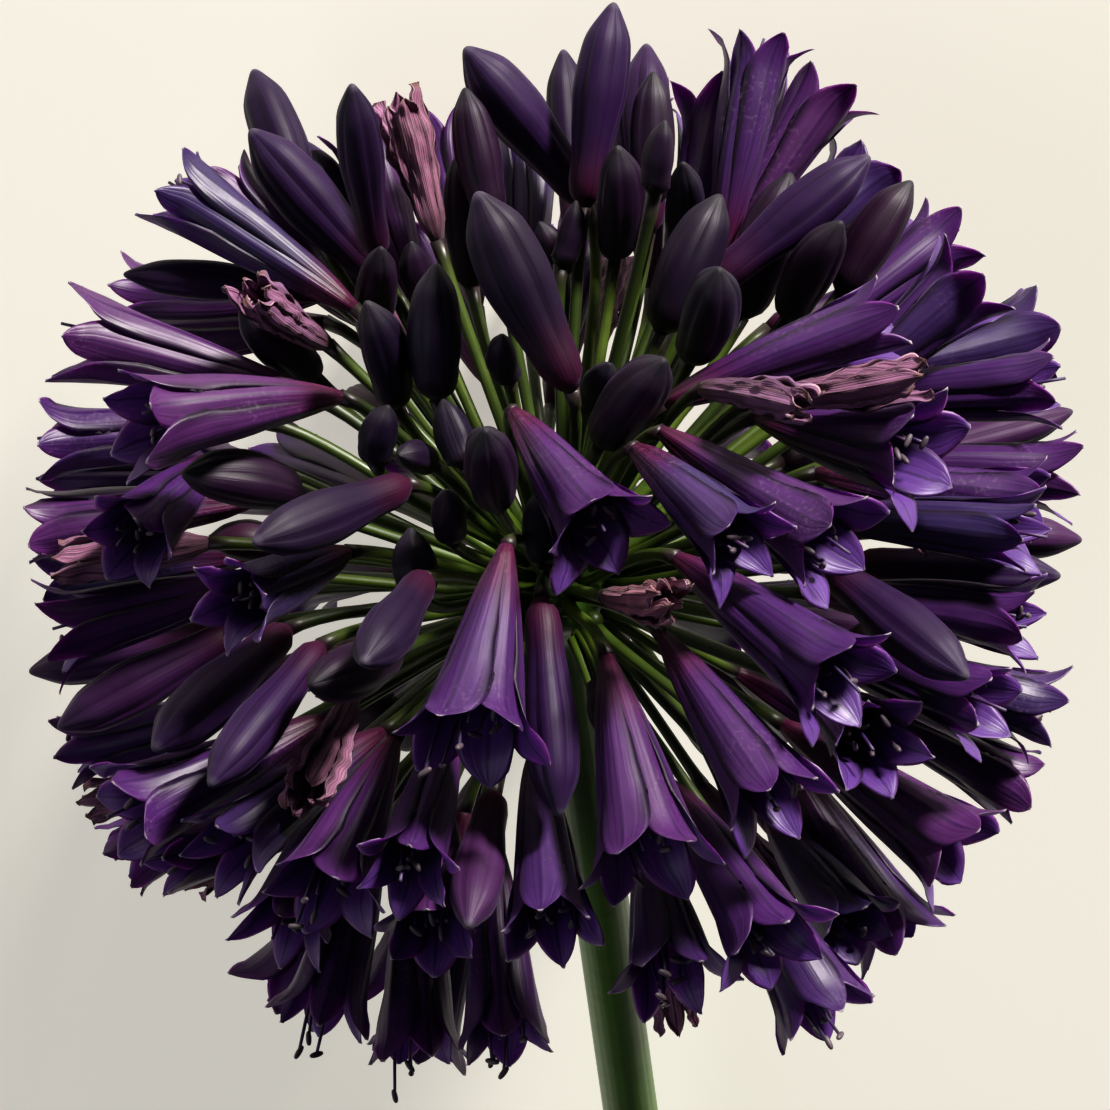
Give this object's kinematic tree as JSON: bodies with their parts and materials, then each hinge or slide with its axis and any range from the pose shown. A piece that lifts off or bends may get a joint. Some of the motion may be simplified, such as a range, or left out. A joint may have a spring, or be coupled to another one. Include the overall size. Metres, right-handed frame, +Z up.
{
  "type": "agapanthus flower stem",
  "caption": "Cut agapanthus flower stem lying down: a round umbel of dark violet trumpet flowers and buds on slender pedicels, on one smooth green scape.",
  "frame": {"origin": "bottom centre of the whole stem's box, on the surface that it lies on", "axes": "+Z up from the surface; the scape points along -Y to its cut end, and the head is at the +Y end"},
  "size_m": [0.1844, 0.3552, 0.1723],
  "materials": {
    "scape": "smooth waxy green stalk",
    "pedicels": "smooth green stalks, darker towards the flowers",
    "tepals": "deep violet petal with a satin sheen and a darker midrib",
    "closed_flowers": "slate violet petal with a soft bloom",
    "buds": "almost black aubergine with a waxy sheen",
    "faded_flowers": "dry dusty pink and brown, creased",
    "stamens": "thin violet filaments with grey-brown anthers"
  },
  "bodies": {
    "root": {"scape": "scape", "cyme_01": "closed_flowers", "cyme_02": "buds", "cyme_03": "tepals", "cyme_04": "buds", "cyme_05": "buds", "cyme_06": "tepals", "cyme_07": "buds", "cyme_08": "closed_flowers", "cyme_09": "tepals", "cyme_10": "tepals", "cyme_11": "tepals", "cyme_12": "closed_flowers", "cyme_13": "tepals", "cyme_14": "tepals", "cyme_15": "closed_flowers", "cyme_16": "tepals", "cyme_17": "buds", "cyme_18": "buds", "cyme_19": "tepals", "cyme_20": "closed_flowers", "cyme_21": "tepals", "cyme_22": "tepals", "cyme_23": "tepals", "cyme_24": "tepals", "cyme_25": "closed_flowers", "cyme_26": "tepals", "cyme_27": "tepals", "cyme_28": "tepals", "cyme_29": "tepals", "cyme_30": "tepals", "cyme_31": "buds", "cyme_32": "faded_flowers", "cyme_33": "tepals", "cyme_34": "closed_flowers", "cyme_35": "buds", "cyme_36": "tepals", "cyme_37": "closed_flowers", "cyme_38": "closed_flowers", "cyme_39": "tepals", "cyme_40": "tepals", "cyme_41": "tepals", "cyme_42": "closed_flowers", "cyme_43": "tepals", "cyme_44": "tepals", "cyme_45": "closed_flowers", "cyme_46": "tepals", "cyme_47": "tepals", "cyme_48": "tepals", "cyme_49": "tepals", "cyme_50": "tepals", "cyme_51": "buds", "cyme_52": "tepals", "cyme_53": "tepals", "cyme_54": "tepals", "cyme_55": "tepals", "cyme_56": "tepals", "cyme_57": "faded_flowers", "cyme_58": "tepals"}
  },
  "joints": []
}
